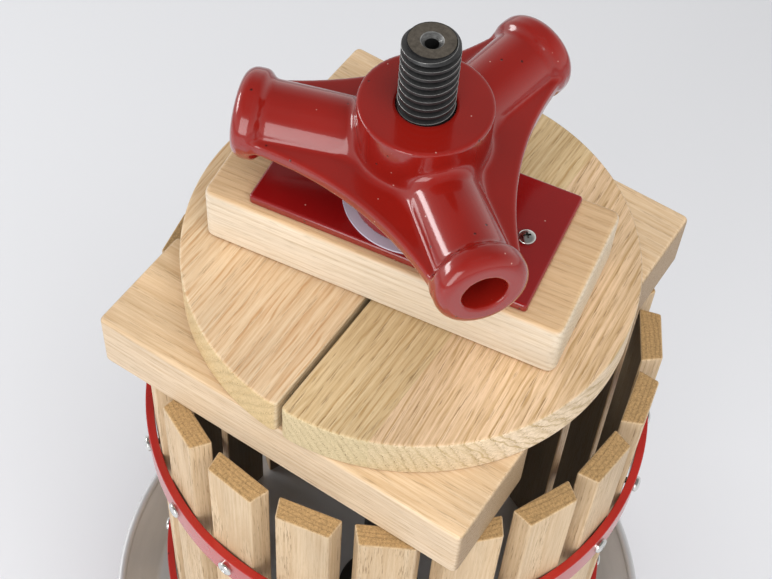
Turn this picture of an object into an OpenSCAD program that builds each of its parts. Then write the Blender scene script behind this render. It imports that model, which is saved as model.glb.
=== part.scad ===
// Fruit press: a slatted basket in a juice pan on a three-legged stand, with a fixed
// threaded spindle, planks, press boards, a press block and a three-armed crown nut.
// Millimetres, +Z up. The origin is on the floor, on the spindle's axis.
// The planks lie along X, the boards are split along Y, and the spout points to -Y.

/* [Spindle] */
// Outside diameter of the threaded spindle
spindle_d = 28; // [24:1:32]
// Distance from one thread turn to the next
thread_pitch = 5; // [4:0.5:6]
// Depth of the thread groove
thread_depth = 2.75; // [2:0.25:3]
// Slope of a thread flank from square, in degrees
thread_flank = 15; // [10:1:18]
// Length of the threaded stretch
thread_len = 400; // [200:10:430]
// Spindle that shows above the nut
spindle_show = 41; // [20:1:90]
// Bevel at the spindle's top end
spindle_bevel = 3.3; // [3:0.1:4]
// Mouth diameter of the centre hole in the top end
centre_mouth_d = 10.4; // [8:0.2:12]
// Drill diameter of the centre hole
centre_drill_d = 6; // [3:0.5:7]
// Depth of the centre hole's bevelled mouth
centre_mouth_depth = 3.8; // [2:0.2:5]
// Full depth of the centre hole
centre_depth = 13; // [8:1:20]
// Spindle that stands out below its foot nut
spindle_stub = 4; // [2:1:10]

/* [Crown nut] */
// Diameter of the nut's round hub
hub_d = 66; // [60:1:70]
// Height of the hub
hub_h = 69; // [62:1:80]
// Height of the arms' axis at the spindle, above the nut's foot
arm_z = 34; // [31:0.5:37]
// Upward tilt of the arms in degrees
arm_tilt = 2; // [0.5:0.5:5]
// Arm length from the spindle's axis to the socket's mouth
arm_len = 92; // [88:1:110]
// Outside diameter of an arm's tube
tube_d = 38.4; // [36:0.2:40]
// Outside diameter of the rounded bead at the mouth
bead_d = 46; // [44:1:52]
// Width of the bead along the arm
bead_w = 14; // [12:1:18]
// Diameter of the socket for the turning bar
socket_d = 22; // [16:1:24]
// Depth of the socket
socket_depth = 53; // [30:1:54]
// Distance from the axis to the web's edge between two arms
web_waist = 49.2; // [45:0.1:52]
// Width of the web at the end of an arm
web_tip = 43; // [38:1:44]
// Height of the web's underside above the nut's foot
web_z = 32.3; // [28:0.1:34]
// Thickness of the web
web_t = 8; // [7:0.1:10]
// Turn of the nut about the spindle in degrees
nut_turn = 81; // [0:1:119]

/* [Washer and plate] */
// Outside diameter of the slip washer
washer_d = 76; // [60:1:79]
// Thickness of the slip washer
washer_t = 1; // [1:0.5:6]
// Length of the thrust plate
plate_len = 152; // [130:1:170]
// Width of the thrust plate
plate_w = 77.5; // [60:0.5:84]
// Thickness of the thrust plate
plate_t = 6; // [3:0.5:8]
// Rounding of the plate's corners
plate_round = 2; // [1:0.5:4]
// Distance from a plate screw to the plate's end
plate_screw_inset = 16; // [10:1:22]
// Length of a plate screw in the block
plate_screw_bite = 18; // [10:1:25]

/* [Press block and boards] */
// Length of the press block
block_len = 197; // [175:1:220]
// Width of the press block
block_w = 86; // [80:1:100]
// Height of the press block
block_h = 35.5; // [30:0.5:60]
// Rounding of the block's upright edges
block_round = 6; // [2:0.5:8]
// Turn of the block about the spindle in degrees
block_turn = 8.5; // [-45:0.5:45]
// Offset of the block's middle from the spindle, along its length
block_shift = -2; // [-10:0.5:10]
// Diameter of the pair of press boards
board_d = 244; // [220:1:256]
// Thickness of the press boards
board_t = 26.5; // [20:0.5:40]
// Gap between the two press boards
board_split = 3; // [2:0.5:8]

/* [Planks] */
// Length of a plank
plank_len = 225; // [215:1:250]
// Width of a plank
plank_w = 68; // [50:1:80]
// Thickness of a plank
plank_t = 38; // [20:0.5:45]
// Distance from the spindle's axis to the front plank
front_plank_off = 51; // [40:1:60]
// Distance from the spindle's axis to the back plank
back_plank_off = 57; // [40:1:60]
// Shift of both planks along their length
plank_shift = -5.5; // [-10:0.5:10]
// Rounding of the planks' upright edges
plank_round = 2; // [1:0.5:4]

/* [Basket] */
// Number of slats
slat_count = 20; // [16:1:24]
// Inside diameter across opposite slats
basket_d = 264; // [260:1:290]
// Length of a slat
slat_len = 370; // [300:5:420]
// Thickness of a slat
slat_t = 12.5; // [11:0.5:18]
// Gap between slats on the inside
slat_gap = 6; // [4:0.5:8]
// Slope of a slat's sides from square, which widens the gap outwards, in degrees
slat_bevel = 13; // [10:1:16]
// Turn of the basket about the spindle in degrees
basket_turn = 2.5; // [0:0.1:17]

/* [Hoops] */
// Width of a hoop
hoop_w = 20; // [16:1:30]
// Thickness of a hoop
hoop_t = 5; // [3:0.5:6]
// Distance from a slat's end to the nearer hoop
hoop_inset = 77; // [40:1:100]
// Diameter of a screw's head
screw_head_d = 9.4; // [7:0.2:11]
// Height of a screw's head
screw_head_h = 3; // [2:0.5:4]
// Diameter of a screw's shank
screw_d = 3.8; // [3:0.2:5]
// Length of a hoop screw in the slat
screw_bite = 9; // [5:0.5:10]

/* [Juice pan] */
// Width of the channel round the basket
pan_channel = 15; // [10:1:30]
// Height of the pan's sloping wall
pan_wall_h = 22; // [20:1:40]
// Outward run of the pan's sloping wall
pan_wall_run = 22; // [15:1:30]
// Thickness of the pan's sheet
pan_sheet = 2; // [1.5:0.5:3]
// Diameter of the pan's rolled rim
rim_d = 6; // [5:0.5:8]
// Bore of the spout
spout_bore = 15; // [12:1:16]
// Wall of the spout
spout_wall = 1.5; // [1:0.5:2]
// Length of the spout beyond the rim
spout_reach = 38; // [20:1:60]
// Outside diameter of the seal round the spindle
gasket_d = 54; // [48:1:60]
// Thickness of the seal
gasket_t = 2; // [1:0.5:3]
// Outside diameter of the collar that clamps the pan
collar_d = 60; // [50:1:70]
// Height of the collar
collar_h = 12; // [8:1:20]

/* [Stand] */
// Height of the pan's underside above the floor
stand_h = 143; // [130:1:200]
// Diameter of the base plate
base_d = 300; // [280:1:320]
// Thickness of the base plate
base_t = 10; // [8:1:14]
// Width of a leg
leg_w = 40; // [30:1:50]
// Thickness of a leg's steel
leg_t = 8; // [6:1:10]
// Distance from the axis to the inner end of a leg's flange
leg_flange_in = 94; // [85:1:100]
// Distance from the axis to a leg's upper bend
leg_knee = 146; // [144:1:150]
// Distance from the axis to the floor screw's hole
foot_r = 205; // [195:1:225]
// Distance from the floor screw's hole back to a leg's lower bend
heel_reach = 21; // [19:1:28]
// Distance from the floor screw's hole on to a leg's toe
toe_reach = 19; // [18:1:30]
// Diameter of the floor screw's hole
foot_hole_d = 11; // [8:1:12]
// Diameter of a rubber foot pad
pad_d = 34; // [30:1:36]
// Thickness of a rubber foot pad
pad_t = 6; // [4:1:12]
// Distance from the axis to the middle of a leg's two bolts
leg_bolt_r = 118; // [116:1:120]
// Distance between a leg's two bolts
leg_bolt_step = 24; // [20:1:26]
// Diameter of a leg bolt's shank
leg_bolt_d = 8; // [6:1:10]
// Diameter of a leg bolt's hexagon head, corner to corner
leg_bolt_head_d = 15; // [13:0.5:18]
// Height of a leg bolt's head
leg_bolt_head_h = 5.3; // [4:0.1:7]
// Outside diameter of the washer under the foot nut
foot_washer_d = 52; // [48:1:60]
// Thickness of the washer under the foot nut
foot_washer_t = 4; // [3:0.5:6]
// Foot nut's diameter, corner to corner
foot_nut_d = 47; // [44:1:54]
// Height of the foot nut
foot_nut_h = 22; // [18:1:28]

/* [Clearances] */
// Gap between the nut's bore and the thread
thread_clear = 0.3; // [0.2:0.1:0.6]
// Gap round the spindle in the block and the boards
guide_clear = 2; // [1:0.5:4]
// Gap round the spindle in the slip washer
washer_clear = 0.8; // [0.5:0.1:2]
// Gap round the spindle in the pieces that it clamps
clamp_clear = 0.15; // [0.1:0.05:0.4]
// Gap round a screw, bolt or spout in its hole
hole_clear = 0.2; // [0.1:0.05:0.4]
// Gap between the slats' corners and a hoop
hoop_clear = 0.2; // [0.1:0.1:0.6]
// Gap under a loose piece that lies on another
lay_gap = 0.05; // [0.03:0.01:0.2]

/* [Hidden] */
$fn = 96;
// Small overlap that joins or cuts shapes cleanly
bite = 0.5;
arm_count = 3;
leg_names = ["right", "back", "left"];
leg_angles = [-30, 90, 210];
hex_sides = 6;

spindle_r = spindle_d / 2;
guide_r = spindle_r + guide_clear;
clamp_r = spindle_r + clamp_clear;

// Levels, from the floor up
z_base = stand_h - base_t;
z_pan = stand_h + pan_sheet;
z_basket = z_pan + lay_gap;
z_slats = z_basket + slat_len;
z_plank_foot = z_slats + lay_gap;
z_planks = z_plank_foot + plank_t;
z_board_foot = z_planks + lay_gap;
z_boards = z_board_foot + board_t;
z_block_foot = z_boards + lay_gap;
z_block = z_block_foot + block_h;
z_plate = z_block + plate_t;
z_washer = z_plate + lay_gap;
z_nut = z_washer + washer_t + lay_gap;
z_hub = z_nut + hub_h;
z_top = z_hub + spindle_show;
z_foot_washer = z_base - foot_washer_t;
z_foot_nut = z_foot_washer - foot_nut_h;
z_bottom = z_foot_nut - spindle_stub;

// Thread form
flank_run = thread_depth * tan(thread_flank);
thread_land = (thread_pitch - 2 * flank_run) / 2;
thread_turns = floor(thread_len / thread_pitch);
z_thread = z_top - spindle_bevel - thread_turns * thread_pitch;

// Basket section
basket_r = basket_d / 2;
slat_step = 360 / slat_count;
slat_in_w = 2 * basket_r * tan(slat_step / 2) - slat_gap;
slat_out_w = slat_in_w - 2 * slat_t * tan(slat_bevel);
slat_corner_r = norm([basket_r + slat_t, slat_out_w / 2]);
hoop_in_r = slat_corner_r + hoop_clear;
hoop_out_r = hoop_in_r + hoop_t;
hoop_screw_len = hoop_out_r - basket_r - slat_t + screw_bite;
z_lower_hoop = z_basket + hoop_inset;
z_upper_hoop = z_slats - hoop_inset - hoop_w;

// Pan section
pan_floor_r = hoop_out_r + pan_channel;
pan_rim_r = pan_floor_r + pan_wall_run;
pan_slope = norm([pan_wall_h, pan_wall_run]);
// Sideways and upright thickness of the sloping sheet
pan_side = pan_sheet * pan_slope / pan_wall_h;
pan_heel = pan_sheet * (pan_slope - pan_wall_run) / pan_wall_h;
spout_r = spout_bore / 2 + spout_wall;
z_spout = z_pan + spout_bore / 2;
spout_in = pan_floor_r - pan_sheet;
spout_out = pan_rim_r + spout_reach;

// Leg section
leg_drop = z_base - pad_t - leg_t;
leg_heel = foot_r - heel_reach;
leg_toe = foot_r + toe_reach;
leg_lean = atan((leg_heel - leg_knee) / leg_drop);
leg_inset = leg_t / cos(leg_lean) - leg_t * tan(leg_lean);

// Nut section
web_reach = arm_len - bead_w / 2;
web_edge = [web_reach * cos(60) + web_tip / 2 * sin(60), web_reach * sin(60) - web_tip / 2 * cos(60)];
web_cut_x = (web_edge * web_edge - web_waist * web_waist) / (2 * (web_edge[0] - web_waist));

function two_digits(i) = str(i < 10 ? "0" : "", i);
function slat_name(i) = str("slat_", two_digits(i));
function leg_bolt_rs() = [leg_bolt_r - leg_bolt_step / 2, leg_bolt_r + leg_bolt_step / 2];

// Shared shapes

// A flat ring that stands on z
module ring(out_r, in_r, z, h) {
    difference() {
        translate([0, 0, z]) cylinder(r = out_r, h = h);
        translate([0, 0, z - bite]) cylinder(r = in_r, h = h + 2 * bite);
    }
}

// A box centred on X and Y whose upright edges are rounded
module rounded_box(len, w, h, r) {
    translate([-len / 2 + r, -w / 2, 0]) cube([len - 2 * r, w, h]);
    translate([-len / 2, -w / 2 + r, 0]) cube([len, w - 2 * r, h]);
    for (sx = [-1, 1], sy = [-1, 1])
        translate([sx * (len / 2 - r), sy * (w / 2 - r), 0]) cylinder(r = r, h = h);
}

// A screw along -Z whose head stands on z = 0
module pan_screw(length) {
    rounding = screw_head_h / 3;
    cylinder(d = screw_head_d, h = screw_head_h - rounding);
    translate([0, 0, screw_head_h - rounding])
        cylinder(d1 = screw_head_d, d2 = screw_head_d - 2 * rounding, h = rounding);
    translate([0, 0, -length]) cylinder(d = screw_d, h = length + bite);
}

// Puts its children at every slat, at a radius, with Z pointing outwards
module at_slats(radius, z) {
    for (i = [1:slat_count]) at_slat(i, radius, z) children();
}

module at_slat(i, radius, z) {
    rotate([0, 0, basket_turn + (i - 0.5) * slat_step])
        translate([radius, 0, z]) rotate([0, 90, 0]) children();
}

// Puts its children at each of the two screws of the thrust plate
module at_plate_screws(z) {
    for (s = [-1, 1])
        rotate([0, 0, block_turn]) translate([s * (plate_len / 2 - plate_screw_inset), 0, z]) children();
}

// Stand

module base_plate() {
    color("firebrick") difference() {
        ring(base_d / 2, clamp_r, z_base, base_t);
        for (a = leg_angles, r = leg_bolt_rs())
            rotate([0, 0, a]) translate([r, 0, z_base - bite])
                cylinder(d = leg_bolt_d + 2 * hole_clear, h = base_t + 2 * bite);
    }
}

module leg(angle) {
    section = [
        [leg_flange_in, z_base], [leg_knee, z_base],
        [leg_heel, pad_t + leg_t], [leg_toe, pad_t + leg_t],
        [leg_toe, pad_t], [leg_heel - leg_inset, pad_t],
        [leg_knee - leg_inset, z_base - leg_t], [leg_flange_in, z_base - leg_t]
    ];
    color("firebrick") rotate([0, 0, angle]) difference() {
        rotate([90, 0, 0]) linear_extrude(height = leg_w, center = true) polygon(section);
        for (r = leg_bolt_rs()) translate([r, 0, z_base - leg_t - bite])
            cylinder(d = leg_bolt_d + 2 * hole_clear, h = leg_t + 2 * bite);
        translate([foot_r, 0, pad_t - bite]) cylinder(d = foot_hole_d, h = leg_t + 2 * bite);
    }
}

module foot_pad(angle) {
    color("dimgray") rotate([0, 0, angle]) translate([foot_r, 0, 0])
        ring(pad_d / 2, foot_hole_d / 2, 0, pad_t);
}

module leg_bolts() {
    color("silver") for (a = leg_angles, r = leg_bolt_rs())
        rotate([0, 0, a]) translate([r, 0, z_base - leg_t]) {
            translate([0, 0, -leg_bolt_head_h]) cylinder(d = leg_bolt_head_d, h = leg_bolt_head_h, $fn = hex_sides);
            translate([0, 0, -bite]) cylinder(d = leg_bolt_d, h = leg_t + base_t - bite);
        }
}

// Juice pan

module juice_pan() {
    section = [
        [clamp_r, stand_h], [pan_floor_r + pan_heel, stand_h],
        [pan_rim_r + pan_side, z_pan + pan_wall_h], [pan_rim_r, z_pan + pan_wall_h],
        [pan_floor_r, z_pan], [clamp_r, z_pan]
    ];
    color("gainsboro") difference() {
        union() {
            rotate_extrude() polygon(section);
            rotate_extrude() translate([pan_rim_r + pan_side / 2, z_pan + pan_wall_h]) circle(d = rim_d);
        }
        translate([0, -spout_in, z_spout]) rotate([90, 0, 0])
            cylinder(r = spout_r + hole_clear, h = pan_wall_run + pan_side + rim_d + 2 * pan_sheet);
    }
}

module pour_spout() {
    color("gainsboro") translate([0, -spout_in, z_spout]) rotate([90, 0, 0])
        ring(spout_r, spout_bore / 2, 0, spout_out - spout_in);
}

module pan_gasket() {
    color("dimgray") ring(gasket_d / 2, clamp_r, z_pan, gasket_t);
}

// Spindle and what holds its foot

module spindle() {
    grooves = [for (i = [0:thread_turns - 1], p = [
        [spindle_r, 0], [spindle_r, thread_land],
        [spindle_r - thread_depth, thread_land + flank_run],
        [spindle_r - thread_depth, 2 * thread_land + flank_run]
    ]) [p[0], z_thread + i * thread_pitch + p[1]]];
    // The drill leaves a point at the bottom of the centre hole
    drill_tip = centre_drill_d / 2 * tan(30);
    centre = [
        [centre_mouth_d / 2, z_top], [centre_drill_d / 2, z_top - centre_mouth_depth],
        [centre_drill_d / 2, z_top - centre_depth], [0, z_top - centre_depth - drill_tip]
    ];
    color("#3a3a3c") rotate_extrude() polygon(concat(
        [[0, z_bottom], [spindle_r, z_bottom]], grooves,
        [[spindle_r, z_top - spindle_bevel], [spindle_r - spindle_bevel, z_top]], centre
    ));
}

module spindle_collar() {
    color("#4a4a4c") ring(collar_d / 2, clamp_r, z_pan + gasket_t, collar_h);
}

module spindle_washer() {
    color("silver") ring(foot_washer_d / 2, clamp_r, z_foot_washer, foot_washer_t);
}

module spindle_nut() {
    color("silver") difference() {
        translate([0, 0, z_foot_nut]) cylinder(d = foot_nut_d, h = foot_nut_h, $fn = hex_sides);
        translate([0, 0, z_foot_nut - bite]) cylinder(r = clamp_r, h = foot_nut_h + 2 * bite);
    }
}

// Basket

module slat(i) {
    // Seen from above, with the inner face at the inside radius
    section = [
        [basket_r, -slat_in_w / 2], [basket_r + slat_t, -slat_out_w / 2],
        [basket_r + slat_t, slat_out_w / 2], [basket_r, slat_in_w / 2]
    ];
    color("burlywood") difference() {
        rotate([0, 0, basket_turn + (i - 0.5) * slat_step])
            translate([0, 0, z_basket]) linear_extrude(height = slat_len) polygon(section);
        for (z = [z_lower_hoop, z_upper_hoop])
            at_slat(i, basket_r + slat_t - screw_bite - hole_clear, z + hoop_w / 2)
                cylinder(d = screw_d + 2 * hole_clear, h = screw_bite + hoop_t);
    }
}

module hoop(z) {
    color("crimson") difference() {
        ring(hoop_out_r, hoop_in_r, z, hoop_w);
        at_slats(hoop_in_r - bite, z + hoop_w / 2) cylinder(d = screw_d + 2 * hole_clear, h = hoop_t + 2 * bite);
    }
}

module hoop_screws(z) {
    color("silver") at_slats(hoop_out_r, z + hoop_w / 2) pan_screw(hoop_screw_len);
}

// Planks, boards and block

module plank(y) {
    color("tan") translate([plank_shift, y, z_plank_foot]) rounded_box(plank_len, plank_w, plank_t, plank_round);
}

module half_board(side) {
    half = board_d / 2 + bite;
    color("wheat") difference() {
        translate([0, 0, z_board_foot]) cylinder(d = board_d, h = board_t);
        translate([side > 0 ? -half : -board_split / 2, -half, z_board_foot - bite])
            cube([half + board_split / 2, 2 * half, board_t + 2 * bite]);
        translate([0, 0, z_board_foot - bite]) cylinder(r = guide_r, h = board_t + 2 * bite);
    }
}

module press_block() {
    color("bisque") difference() {
        translate([0, 0, z_block_foot]) rotate([0, 0, block_turn])
            translate([block_shift, 0, 0]) rounded_box(block_len, block_w, block_h, block_round);
        translate([0, 0, z_block_foot - bite]) cylinder(r = guide_r, h = block_h + 2 * bite);
        at_plate_screws(z_block - plate_screw_bite - hole_clear)
            cylinder(d = screw_d + 2 * hole_clear, h = plate_screw_bite + hole_clear + bite);
    }
}

module thrust_plate() {
    color("darkred") difference() {
        translate([0, 0, z_block]) rotate([0, 0, block_turn]) rounded_box(plate_len, plate_w, plate_t, plate_round);
        translate([0, 0, z_block - bite]) cylinder(r = guide_r, h = plate_t + 2 * bite);
        at_plate_screws(z_block - bite) cylinder(d = screw_d + 2 * hole_clear, h = plate_t + 2 * bite);
    }
}

module plate_screws() {
    color("silver") at_plate_screws(z_plate) pan_screw(plate_t + plate_screw_bite);
}

module slip_washer() {
    color("lavender") ring(washer_d / 2, spindle_r + washer_clear, z_washer, washer_t);
}

// Crown nut

// Puts its children on each arm's axis, with Z along the arm
module on_arms() {
    for (k = [0:arm_count - 1])
        rotate([0, 0, nut_turn + k * 360 / arm_count])
            translate([0, 0, z_nut + arm_z]) rotate([0, 90 - arm_tilt, 0]) children();
}

// A tube with a rounded bead at its mouth
module arm() {
    cylinder(d = tube_d, h = arm_len - bead_w / 2);
    translate([0, 0, arm_len - bead_w / 2]) {
        rotate_extrude() translate([(bead_d - bead_w) / 2, 0]) circle(d = bead_w);
        translate([0, 0, -bead_w / 2]) cylinder(d = bead_d - bead_w, h = bead_w);
    }
}

// A level web between the arms, drawn in towards the hub
module web() {
    difference() {
        translate([0, 0, z_nut + web_z]) cylinder(r = web_reach, h = web_t);
        for (k = [0:arm_count - 1])
            rotate([0, 0, nut_turn + (k + 0.5) * 360 / arm_count])
                translate([web_cut_x, 0, z_nut]) cylinder(r = web_cut_x - web_waist, h = hub_h);
    }
}

module crown_nut() {
    color("crimson") difference() {
        union() {
            translate([0, 0, z_nut]) cylinder(d = hub_d, h = hub_h);
            web();
            on_arms() arm();
        }
        translate([0, 0, z_nut - bite]) cylinder(r = spindle_r + thread_clear, h = hub_h + 2 * bite);
        on_arms() translate([0, 0, arm_len - socket_depth]) cylinder(d = socket_d, h = socket_depth + bite);
    }
}

base_plate();
for (k = [0:len(leg_names) - 1]) {
    leg(leg_angles[k]);
    foot_pad(leg_angles[k]);
}
leg_bolts();
juice_pan();
pour_spout();
pan_gasket();
spindle();
spindle_collar();
spindle_washer();
spindle_nut();
for (i = [1:slat_count])
    slat(i);
hoop(z_upper_hoop);  // upper_hoop
hoop(z_lower_hoop);  // lower_hoop
hoop_screws(z_upper_hoop);  // upper_hoop_screws
hoop_screws(z_lower_hoop);  // lower_hoop_screws
plank(-front_plank_off - plank_w / 2);  // front_plank
plank(back_plank_off + plank_w / 2);  // back_plank
half_board(-1);  // left_board
half_board(1);  // right_board
press_block();
thrust_plate();
plate_screws();
slip_washer();
crown_nut();
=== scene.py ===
"""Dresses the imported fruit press: casting, thread, wood, hoops, juice pan and stand."""

import logging
import math
from dataclasses import dataclass
from enum import Enum
from typing import Optional, Sequence, Union

import bmesh
import bpy
import numpy as np
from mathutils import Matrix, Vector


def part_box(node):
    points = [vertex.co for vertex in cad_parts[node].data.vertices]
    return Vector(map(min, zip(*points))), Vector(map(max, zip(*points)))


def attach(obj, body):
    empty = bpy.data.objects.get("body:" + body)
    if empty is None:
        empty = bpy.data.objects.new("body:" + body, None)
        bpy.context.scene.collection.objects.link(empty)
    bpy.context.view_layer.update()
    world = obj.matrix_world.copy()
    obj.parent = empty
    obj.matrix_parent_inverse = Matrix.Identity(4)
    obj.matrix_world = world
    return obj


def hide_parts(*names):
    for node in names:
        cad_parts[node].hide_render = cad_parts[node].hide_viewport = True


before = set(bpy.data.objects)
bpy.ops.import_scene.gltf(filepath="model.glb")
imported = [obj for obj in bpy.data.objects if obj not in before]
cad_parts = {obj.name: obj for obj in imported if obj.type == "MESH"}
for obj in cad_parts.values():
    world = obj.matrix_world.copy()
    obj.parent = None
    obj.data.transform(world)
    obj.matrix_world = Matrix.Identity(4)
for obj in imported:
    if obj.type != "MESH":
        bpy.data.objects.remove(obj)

import openvdb
from mathutils import Euler, Matrix, Vector

LOG = logging.getLogger("fruit_press")
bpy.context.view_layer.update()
MM = 0.001
WELD = 1e-6
SLIVER = 1e-7
SHARP_DEG = 32.0
FLAT_DEG = 0.4
SIDE_SHARE = 0.49
STRAIGHT_DEG = 178.0
WHITE = (1.0, 1.0, 1.0, 1.0)

Point2 = tuple[float, float]
Point3 = tuple[float, float, float]
Piece = bpy.types.Object
Material = bpy.types.Material
Node = bpy.types.Node
Socket = bpy.types.NodeSocket
Tree = bpy.types.NodeTree
Value = Union[float, int, bool, str, Sequence[float], Socket, Tree, Piece]
Inputs = dict[Union[str, int], Value]


# Mesh helpers

def from_bmesh(bm: bmesh.types.BMesh, name: str, sharp_deg: float = SHARP_DEG) -> Piece:
    """Merges, orients and smooths a bmesh and makes an object of it.

    Args:
        bm: The mesh under construction, which is freed.
        name: The object's name.
        sharp_deg: Edges that turn more than this stay sharp.

    Returns:
        The new object, at the origin.
    """
    bmesh.ops.remove_doubles(bm, verts=bm.verts, dist=WELD)
    bmesh.ops.dissolve_degenerate(bm, edges=bm.edges, dist=SLIVER)
    bmesh.ops.recalc_face_normals(bm, faces=bm.faces)
    mesh = bpy.data.meshes.new(name)
    bm.to_mesh(mesh)
    bm.free()
    mesh.shade_smooth()
    mesh.set_sharp_from_angle(angle=math.radians(sharp_deg))
    piece = bpy.data.objects.new(name, mesh)
    bpy.context.scene.collection.objects.link(piece)
    return piece


def skin(rows: Sequence[Sequence[Vector]], closed: bool = True, capped: bool = False) -> bmesh.types.BMesh:
    """Skins rows of points with quads.

    Args:
        rows: Rows of equally many points.
        closed: Whether each row's end joins its start.
        capped: Whether the first and last rows get a face.

    Returns:
        The mesh under construction.
    """
    bm = bmesh.new()
    verts = [[bm.verts.new(p) for p in row] for row in rows]
    count = len(verts[0])
    for low, high in zip(verts, verts[1:]):
        for i in range(count if closed else count - 1):
            k = (i + 1) % count
            bm.faces.new((low[i], low[k], high[k], high[i]))
    if capped:
        bm.faces.new(verts[0][::-1])
        bm.faces.new(verts[-1])
    return bm


def circle(radius: float, z: float, angles: Sequence[float]) -> list[Vector]:
    """A level ring of points round the spindle's axis."""
    return [Vector((radius * math.cos(a), radius * math.sin(a), z)) for a in angles]


def lathe(profile: Sequence[Point2], name: str, steps: int = 128, ring: bool = True,
          sharp_deg: float = SHARP_DEG) -> Piece:
    """Turns a profile about the spindle's axis.

    Args:
        profile: Radius and height pairs.
        name: The object's name.
        steps: Number of facets round the axis.
        ring: Whether the profile's end joins its start; otherwise it ends on the axis.
        sharp_deg: Edges that turn more than this stay sharp.

    Returns:
        The turned object.
    """
    points = [*profile, profile[0]] if ring else profile
    angles = [2 * math.pi * i / steps for i in range(steps)]
    return from_bmesh(skin([circle(r, z, angles) for r, z in points]), name, sharp_deg)


def curve(start: Vector, corner: Vector, end: Vector, steps: int) -> list[Point2]:
    """Points along a curve that eases a corner, both ends included."""
    shares = [k / steps for k in range(steps + 1)]
    return [tuple(start * (1 - t) ** 2 + corner * (2 * t * (1 - t)) + end * t * t) for t in shares]


def fillet(points: Sequence[Point2], radius: float, steps: int = 4, keep: Sequence[int] = ()) -> list[Point2]:
    """Rounds the corners of a closed outline.

    Args:
        points: The outline's corners in order.
        radius: Radius of the rounding.
        steps: Segments in each rounding.
        keep: Indices of the corners that stay as they are.

    Returns:
        The rounded outline.
    """
    rounded: list[Point2] = []
    for i, point in enumerate(points):
        here = Vector(point)
        to_last = Vector(points[i - 1]) - here
        to_next = Vector(points[(i + 1) % len(points)]) - here
        if i in keep or to_last.angle(to_next) > math.radians(STRAIGHT_DEG):
            rounded.append(tuple(here))
            continue
        half = to_last.angle(to_next) / 2
        reach = min(radius / math.tan(half), SIDE_SHARE * to_last.length, SIDE_SHARE * to_next.length)
        start = here + to_last.normalized() * reach
        end = here + to_next.normalized() * reach
        rounded += curve(start, here, end, steps)
    return rounded


def arc(centre: Point2, radius: float, first_deg: float, last_deg: float, steps: int) -> list[Point2]:
    """Points along a circular arc, both ends included."""
    turns = [math.radians(first_deg + (last_deg - first_deg) * k / steps) for k in range(steps + 1)]
    return [(centre[0] + radius * math.cos(t), centre[1] + radius * math.sin(t)) for t in turns]


def soft_prism(outline: Sequence[Point2], low: float, high: float, edge: float, name: str,
               steps: int = 3) -> Piece:
    """Stands an outline up as a board whose upper and lower edges are rounded.

    Args:
        outline: The board's outline, anticlockwise.
        low: Height of the lower face.
        high: Height of the upper face.
        edge: Radius of the edges.
        name: The object's name.
        steps: Segments in each rounded edge.

    Returns:
        The board.
    """
    pts = np.array(outline)
    ahead = np.roll(pts, -1, axis=0) - pts
    ahead /= np.linalg.norm(ahead, axis=1)[:, None]
    normal = np.stack([ahead[:, 1], -ahead[:, 0]], axis=1)
    miter = normal + np.roll(normal, 1, axis=0)
    miter *= (2 / (miter ** 2).sum(axis=1))[:, None]

    def row(inset: float, z: float) -> list[Vector]:
        """One outline, drawn in by an inset, at a height."""
        return [Vector((x, y, z)) for x, y in pts - miter * inset]

    turns = [math.pi / 2 * k / steps for k in range(steps + 1)]
    rows = [row(edge * (1 - math.sin(t)), low + edge * (1 - math.cos(t))) for t in turns]
    rows += [row(edge * (1 - math.cos(t)), high - edge * (1 - math.sin(t))) for t in turns]
    piece = from_bmesh(skin(rows, capped=True), name)
    harden(piece)
    return piece


def apply_modifiers(piece: Piece) -> None:
    """Turns a piece's modifiers into its mesh.

    Args:
        piece: The piece, whose old mesh is removed.
    """
    depsgraph = bpy.context.evaluated_depsgraph_get()
    mesh = bpy.data.meshes.new_from_object(piece.evaluated_get(depsgraph), depsgraph=depsgraph)
    old = piece.data
    piece.modifiers.clear()
    piece.data = mesh
    mesh.name = piece.name
    if old.users == 0:
        bpy.data.meshes.remove(old)


def modify(piece: Piece, kind: str, **settings: Value) -> None:
    """Puts a modifier on a piece and turns it into the piece's mesh.

    Args:
        piece: The piece.
        kind: The modifier's type.
        settings: Values for its settings.
    """
    modifier = piece.modifiers.new(kind.lower(), kind)
    for name, value in settings.items():
        setattr(modifier, name, value)
    apply_modifiers(piece)


def harden(piece: Piece) -> None:
    """Weights the normals by face, so that flat faces shade flat up to their rounded edges."""
    modify(piece, "WEIGHTED_NORMAL", keep_sharp=True, weight=100)


def ease(piece: Piece, edge: float) -> None:
    """Rounds a piece's sharp edges to a width."""
    modify(piece, "BEVEL", limit_method="ANGLE", angle_limit=math.radians(SHARP_DEG), width=edge, segments=3,
           harden_normals=True)


def eased_copy(node: str, name: str, edge: float) -> Piece:
    """Copies a node's solid and eases its sharp edges.

    Args:
        node: The node to copy.
        name: The copy's name.
        edge: Width of the eased edges.

    Returns:
        The eased copy.
    """
    bm = bmesh.new()
    bm.from_mesh(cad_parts[node].data)
    bmesh.ops.remove_doubles(bm, verts=bm.verts, dist=WELD)
    bmesh.ops.dissolve_limit(bm, angle_limit=math.radians(FLAT_DEG), verts=bm.verts, edges=bm.edges)
    piece = from_bmesh(bm, name)
    ease(piece, edge)
    return piece


def cut(piece: Piece, cutter: Piece) -> None:
    """Takes one solid out of another and removes the cutter."""
    modify(piece, "BOOLEAN", operation="DIFFERENCE", solver="EXACT", object=cutter)
    bpy.data.objects.remove(cutter)


def join(pieces: Sequence[Piece], name: str) -> Piece:
    """Joins several objects into one.

    Args:
        pieces: The objects, which are used up.
        name: The joined object's name.

    Returns:
        The joined object.
    """
    bm = bmesh.new()
    for piece in pieces:
        bm.from_mesh(piece.data)
        bpy.data.objects.remove(piece)
    return from_bmesh(bm, name)


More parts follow.
